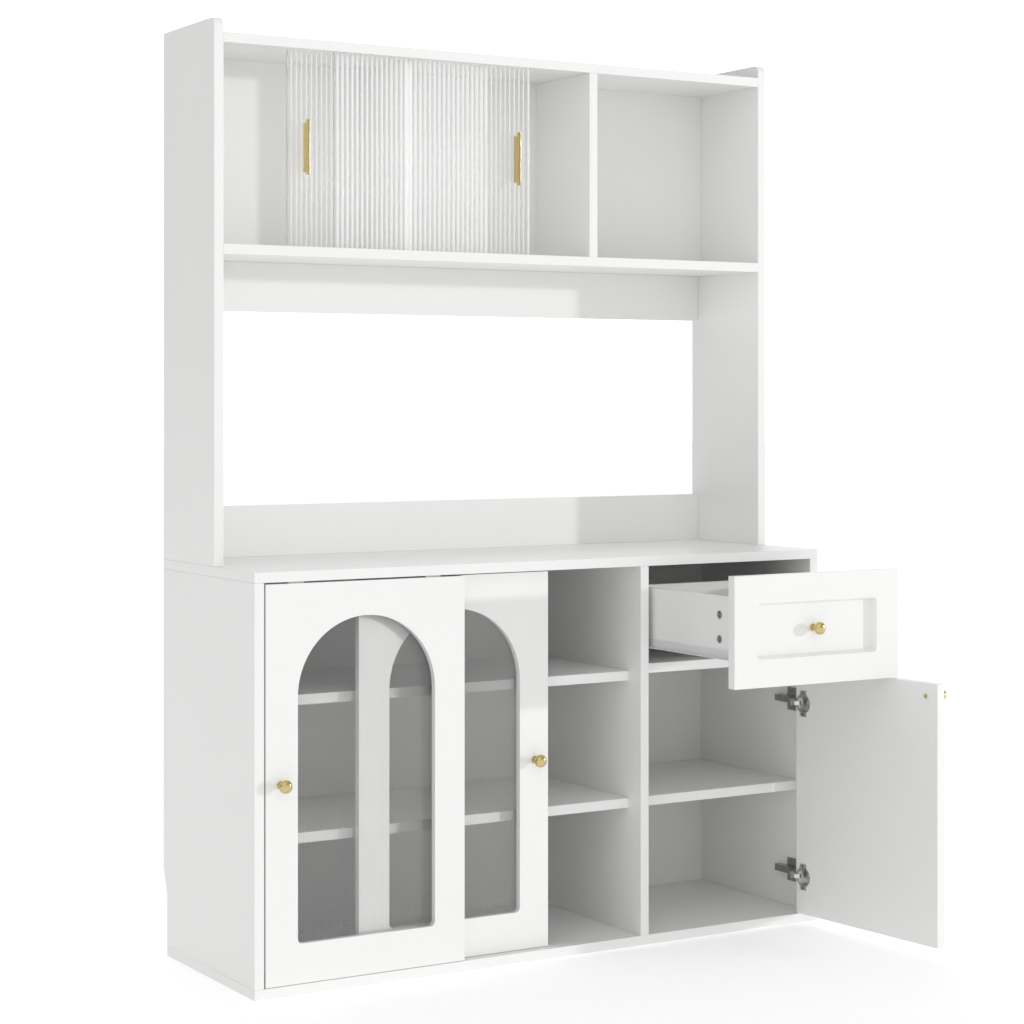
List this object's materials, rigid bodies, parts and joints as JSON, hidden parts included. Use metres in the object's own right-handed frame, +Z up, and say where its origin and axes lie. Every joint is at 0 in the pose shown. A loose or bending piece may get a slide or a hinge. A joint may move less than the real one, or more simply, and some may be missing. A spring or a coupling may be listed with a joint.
{
  "type": "kitchen hutch",
  "caption": "White kitchen hutch: sideboard with sliding arched glass doors, a drawer and a hinged door, below an open upper cabinet with sliding fluted glass panes.",
  "frame": {"origin": "centre of the base's footprint, at floor level", "axes": "+X to the right seen from the front, +Y to the back, +Z up"},
  "size_m": [1.2268, 0.7622, 1.683],
  "materials": {
    "white_board": "white satin lacquered board",
    "back_board": "white coated thin fibreboard",
    "drawer_board": "pale grey coated board",
    "dowel_wood": "plain beech",
    "brass": "polished brass",
    "fluted_glass": "clear fluted glass",
    "white_nylon": "white nylon",
    "runner_steel": "white epoxy coated steel",
    "hinge_steel": "nickel plated steel",
    "fastener_steel": "zinc plated steel"
  },
  "bodies": {
    "cabinet": {"base_bottom_board": "white_board", "base_left_side": "white_board", "base_right_side": "white_board", "base_divider": "white_board", "countertop": "white_board", "left_bay_upper_shelf": "white_board", "left_bay_lower_shelf": "white_board", "right_bay_shelf": "white_board", "drawer_support_board": "white_board", "hutch_left_side": "white_board", "hutch_right_side": "white_board", "hutch_top_board": "white_board", "hutch_bottom_board": "white_board", "hutch_divider": "white_board", "hutch_centre_partition": "white_board", "hutch_upper_rail": "white_board", "hutch_lower_rail": "white_board", "base_back_panel": "back_board", "hutch_back_panel": "back_board", "joint_dowels": "dowel_wood", "cabinet_runners": "runner_steel", "hinge_plates": "hinge_steel", "hinge_arms": "hinge_steel", "hinge_pins": "hinge_steel", "hinge_plate_screws": "hinge_steel", "shelf_pins": "fastener_steel"},
    "left_door": {"left_door_panel": "white_board", "left_door_glass": "fluted_glass", "left_door_glass_tabs": "white_nylon", "left_door_guides": "white_nylon", "left_door_knob": "brass", "left_door_knob_screw": "fastener_steel"},
    "right_door": {"right_door_panel": "white_board", "right_door_glass": "fluted_glass", "right_door_glass_tabs": "white_nylon", "right_door_guides": "white_nylon", "right_door_knob": "brass", "right_door_knob_screw": "fastener_steel"},
    "drawer": {"drawer_front": "white_board", "drawer_left_side": "drawer_board", "drawer_right_side": "drawer_board", "drawer_back": "drawer_board", "drawer_bottom": "drawer_board", "drawer_runners": "runner_steel", "drawer_knob": "brass", "drawer_knob_screw": "fastener_steel", "drawer_cam_locks": "fastener_steel", "drawer_cam_bolts": "fastener_steel"},
    "cupboard_door": {"cupboard_door_panel": "white_board", "cupboard_door_knob": "brass", "cupboard_door_knob_screw": "fastener_steel", "hinge_cups": "hinge_steel", "hinge_cup_screws": "hinge_steel"},
    "upper_left_pane": {"upper_left_glass": "fluted_glass", "upper_left_pull": "brass"},
    "upper_right_pane": {"upper_right_glass": "fluted_glass", "upper_right_pull": "brass"},
    "hinge_links": {"hinge_links": "hinge_steel"},
    "cabinet_rollers": {"cabinet_rollers": "white_nylon"},
    "drawer_rollers": {"drawer_rollers": "white_nylon"}
  },
  "joints": [
    {"name": "left_door_slide", "type": "slide", "parent": "cabinet", "child": "left_door", "axis": [1, 0, 0], "range_m": [0, 0.13]},
    {"name": "right_door_slide", "type": "slide", "parent": "cabinet", "child": "right_door", "axis": [1, 0, 0], "range_m": [-0.01, 0.1885]},
    {"name": "drawer_slide", "type": "slide", "parent": "cabinet", "child": "drawer", "axis": [0, -1, 0], "range_m": [-0.2635, 0.02]},
    {"name": "cupboard_door_swing", "type": "hinge", "parent": "cabinet", "child": "cupboard_door", "pos_m": [0.5715, -0.1989, 0.2595], "axis": [0, 0, 1], "range_deg": [-95, 0]},
    {"name": "upper_left_pane_slide", "type": "slide", "parent": "cabinet", "child": "upper_left_pane", "axis": [1, 0, 0], "range_m": [-0.135, 0.02]},
    {"name": "upper_right_pane_slide", "type": "slide", "parent": "cabinet", "child": "upper_right_pane", "axis": [1, 0, 0], "range_m": [-0.015, 0.125]},
    {"name": "hinge_link_swing", "type": "hinge", "parent": "cabinet", "child": "hinge_links", "pos_m": [0.546, -0.186, 0.2595], "axis": [0, 0, 1], "range_deg": [-1, 72]},
    {"name": "cabinet_roller_turn", "type": "hinge", "parent": "cabinet", "child": "cabinet_rollers", "pos_m": [0.3925, -0.1665, 0.5435], "axis": [1, 0, 0], "continuous": true},
    {"name": "drawer_roller_turn", "type": "hinge", "parent": "drawer", "child": "drawer_rollers", "pos_m": [0.3925, -0.123, 0.5435], "axis": [1, 0, 0], "continuous": true}
  ],
  "couplings": [
    {"joint": "hinge_link_swing", "follows": "cupboard_door_swing", "ratio": -0.747}
  ]
}
